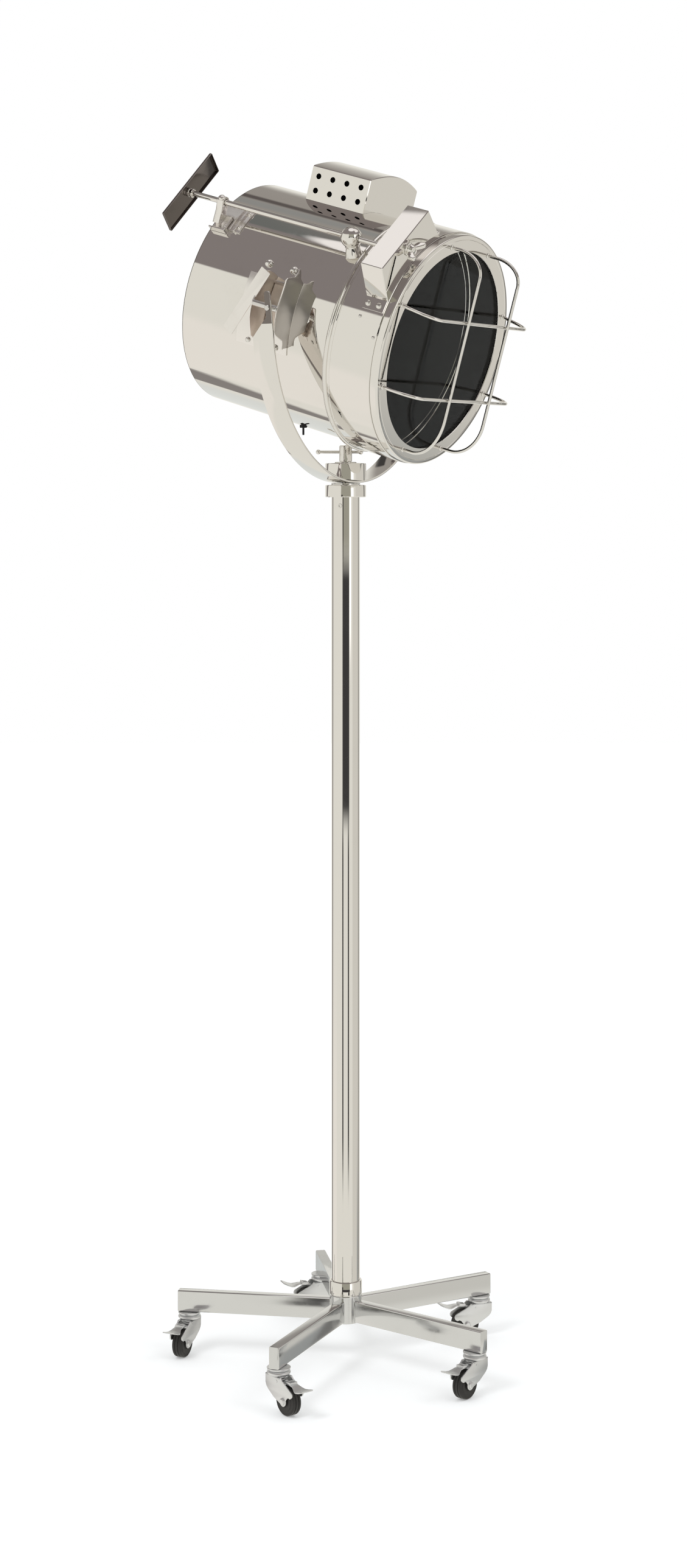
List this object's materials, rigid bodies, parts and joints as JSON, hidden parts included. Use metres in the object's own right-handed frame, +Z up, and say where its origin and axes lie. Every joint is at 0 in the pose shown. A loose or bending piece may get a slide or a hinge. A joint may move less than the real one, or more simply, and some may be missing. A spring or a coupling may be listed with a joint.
{
  "type": "stage spotlight",
  "caption": "Polished metal drum spotlight with a glazed, caged front, hung in a strap yoke on a tall round pole with spread legs and braked castors.",
  "frame": {"origin": "on the floor, under the middle of the whole object's box", "axes": "+Z up along the pole; -Y towards the viewer; +X to the picture's right"},
  "size_m": [0.6494, 0.6374, 2.1666],
  "materials": {
    "polished_nickel": "mirror polish",
    "satin_nickel": "soft polish",
    "zinc_plate": "zinc plate",
    "bright_steel": "turned",
    "black_rubber": "matte",
    "clear_glass": "clear",
    "opal_bulb": "opal",
    "mirror_reflector": "mirror",
    "porcelain": "glazed"
  },
  "bodies": {
    "stand": {"pole": "polished_nickel", "hub": "satin_nickel", "base_collar": "polished_nickel", "top_collar": "polished_nickel", "lock_screw": "bright_steel", "leg_1": "satin_nickel", "leg_2": "satin_nickel", "leg_3": "satin_nickel", "leg_4": "satin_nickel", "leg_5": "satin_nickel", "castor_1_race": "zinc_plate", "castor_2_race": "zinc_plate", "castor_3_race": "zinc_plate", "castor_4_race": "zinc_plate", "castor_5_race": "zinc_plate"},
    "yoke_frame": {"yoke_spigot": "bright_steel", "yoke": "polished_nickel", "top_saddle": "polished_nickel", "clamp_washer": "bright_steel"},
    "clamp": {"clamp_screw": "polished_nickel"},
    "tommy": {"tommy_bar": "polished_nickel"},
    "head": {"drum": "polished_nickel", "rear_cover": "polished_nickel", "front_barrel": "polished_nickel", "bezel": "polished_nickel", "front_glass": "clear_glass", "cage_guard": "polished_nickel", "reflector": "mirror_reflector", "lamp_socket": "porcelain", "bulb": "opal_bulb", "vent_box": "polished_nickel", "bridge_box": "polished_nickel", "ball_post": "polished_nickel", "rod_bracket": "polished_nickel", "trunnion_bar_left": "bright_steel", "trunnion_bar_right": "bright_steel", "pivot_pin_left": "bright_steel", "pivot_pin_right": "bright_steel", "trunnion_bracket_left_front": "polished_nickel", "trunnion_bracket_left_rear": "polished_nickel", "trunnion_bracket_right_front": "polished_nickel", "trunnion_bracket_right_rear": "polished_nickel"},
    "rod": {"control_rod": "polished_nickel", "paddle": "polished_nickel"},
    "wing": {"wing_screw": "polished_nickel"},
    "castor_1_swivelling": {"castor_1_fork": "zinc_plate"},
    "castor_1_rolling": {"castor_1_wheel": "black_rubber"},
    "castor_1_brake": {"castor_1_pedal": "zinc_plate"},
    "castor_2_swivelling": {"castor_2_fork": "zinc_plate"},
    "castor_2_rolling": {"castor_2_wheel": "black_rubber"},
    "castor_2_brake": {"castor_2_pedal": "zinc_plate"},
    "castor_3_swivelling": {"castor_3_fork": "zinc_plate"},
    "castor_3_rolling": {"castor_3_wheel": "black_rubber"},
    "castor_3_brake": {"castor_3_pedal": "zinc_plate"},
    "castor_4_swivelling": {"castor_4_fork": "zinc_plate"},
    "castor_4_rolling": {"castor_4_wheel": "black_rubber"},
    "castor_4_brake": {"castor_4_pedal": "zinc_plate"},
    "castor_5_swivelling": {"castor_5_fork": "zinc_plate"},
    "castor_5_rolling": {"castor_5_wheel": "black_rubber"},
    "castor_5_brake": {"castor_5_pedal": "zinc_plate"}
  },
  "joints": [
    {"name": "yoke_pan", "type": "hinge", "parent": "stand", "child": "yoke_frame", "pos_m": [0.0022, 0.0141, 1.569], "axis": [0, 0, 1], "continuous": true},
    {"name": "head_tilt", "type": "hinge", "parent": "yoke_frame", "child": "head", "pos_m": [0.0145, 0.00642, 1.872], "axis": [-0.5299, -0.848, 0], "range_deg": [-1.5, 32]},
    {"name": "clamp_turn", "type": "hinge", "parent": "yoke_frame", "child": "clamp", "pos_m": [0.0022, 0.0141, 1.62], "axis": [0, 0, 1], "range_deg": [0, 100]},
    {"name": "tommy_slide", "type": "slide", "parent": "clamp", "child": "tommy", "axis": [1, 0, 0], "range_m": [-0.0105, 0.015]},
    {"name": "rod_turn", "type": "hinge", "parent": "head", "child": "rod", "pos_m": [-0.0492, -0.15051, 2.01669], "axis": [0.8152, -0.5094, -0.2756], "range_deg": [-60, 60]},
    {"name": "wing_turn", "type": "hinge", "parent": "head", "child": "wing", "pos_m": [-0.05144, -0.15767, 2.02331], "axis": [0.8152, -0.5094, -0.2756], "continuous": true},
    {"name": "castor_1_swivel", "type": "hinge", "parent": "stand", "child": "castor_1_swivelling", "pos_m": [-0.28078, 0.06196, 0.0625], "axis": [0, 0, 1], "continuous": true},
    {"name": "castor_1_roll", "type": "hinge", "parent": "castor_1_swivelling", "child": "castor_1_rolling", "pos_m": [-0.29217, 0.03638, 0.025], "axis": [0.9135, -0.4067, 0], "continuous": true},
    {"name": "castor_1_press", "type": "hinge", "parent": "castor_1_swivelling", "child": "castor_1_brake", "pos_m": [-0.28485, 0.05283, 0.0551], "axis": [0.9135, -0.4067, 0], "range_deg": [-7, 10]},
    {"name": "castor_2_swivel", "type": "hinge", "parent": "stand", "child": "castor_2_swivelling", "pos_m": [-0.11132, -0.24949, 0.0625], "axis": [0, 0, 1], "continuous": true},
    {"name": "castor_2_roll", "type": "hinge", "parent": "castor_2_swivelling", "child": "castor_2_rolling", "pos_m": [-0.09408, -0.27156, 0.025], "axis": [0.788, 0.6157, 0], "continuous": true},
    {"name": "castor_2_press", "type": "hinge", "parent": "castor_2_swivelling", "child": "castor_2_brake", "pos_m": [-0.10516, -0.25737, 0.0551], "axis": [0.788, 0.6157, 0], "range_deg": [-10, 7]},
    {"name": "castor_3_swivel", "type": "hinge", "parent": "stand", "child": "castor_3_swivelling", "pos_m": [0.22524, -0.16651, 0.0625], "axis": [0, 0, 1], "continuous": true},
    {"name": "castor_3_roll", "type": "hinge", "parent": "castor_3_swivelling", "child": "castor_3_rolling", "pos_m": [0.20724, -0.18796, 0.025], "axis": [0.766, -0.6428, 0], "continuous": true},
    {"name": "castor_3_press", "type": "hinge", "parent": "castor_3_swivelling", "child": "castor_3_brake", "pos_m": [0.21881, -0.17418, 0.0551], "axis": [0.766, -0.6428, 0], "range_deg": [-7, 10]},
    {"name": "castor_4_swivel", "type": "hinge", "parent": "stand", "child": "castor_4_swivelling", "pos_m": [0.24872, 0.16106, 0.0625], "axis": [0, 0, 1], "continuous": true},
    {"name": "castor_4_roll", "type": "hinge", "parent": "castor_4_swivelling", "child": "castor_4_rolling", "pos_m": [0.22241, 0.15148, 0.025], "axis": [0.342, -0.9397, 0], "continuous": true},
    {"name": "castor_4_press", "type": "hinge", "parent": "castor_4_swivelling", "child": "castor_4_brake", "pos_m": [0.23932, 0.15764, 0.0551], "axis": [0.342, -0.9397, 0], "range_deg": [0, 17]},
    {"name": "castor_5_swivel", "type": "hinge", "parent": "stand", "child": "castor_5_swivelling", "pos_m": [-0.0427, 0.29757, 0.0625], "axis": [0, 0, 1], "continuous": true},
    {"name": "castor_5_roll", "type": "hinge", "parent": "castor_5_swivelling", "child": "castor_5_rolling", "pos_m": [-0.06901, 0.28799, 0.025], "axis": [0.342, -0.9397, 0], "continuous": true},
    {"name": "castor_5_press", "type": "hinge", "parent": "castor_5_swivelling", "child": "castor_5_brake", "pos_m": [-0.05209, 0.29415, 0.0551], "axis": [0.342, -0.9397, 0], "range_deg": [0, 17]}
  ]
}
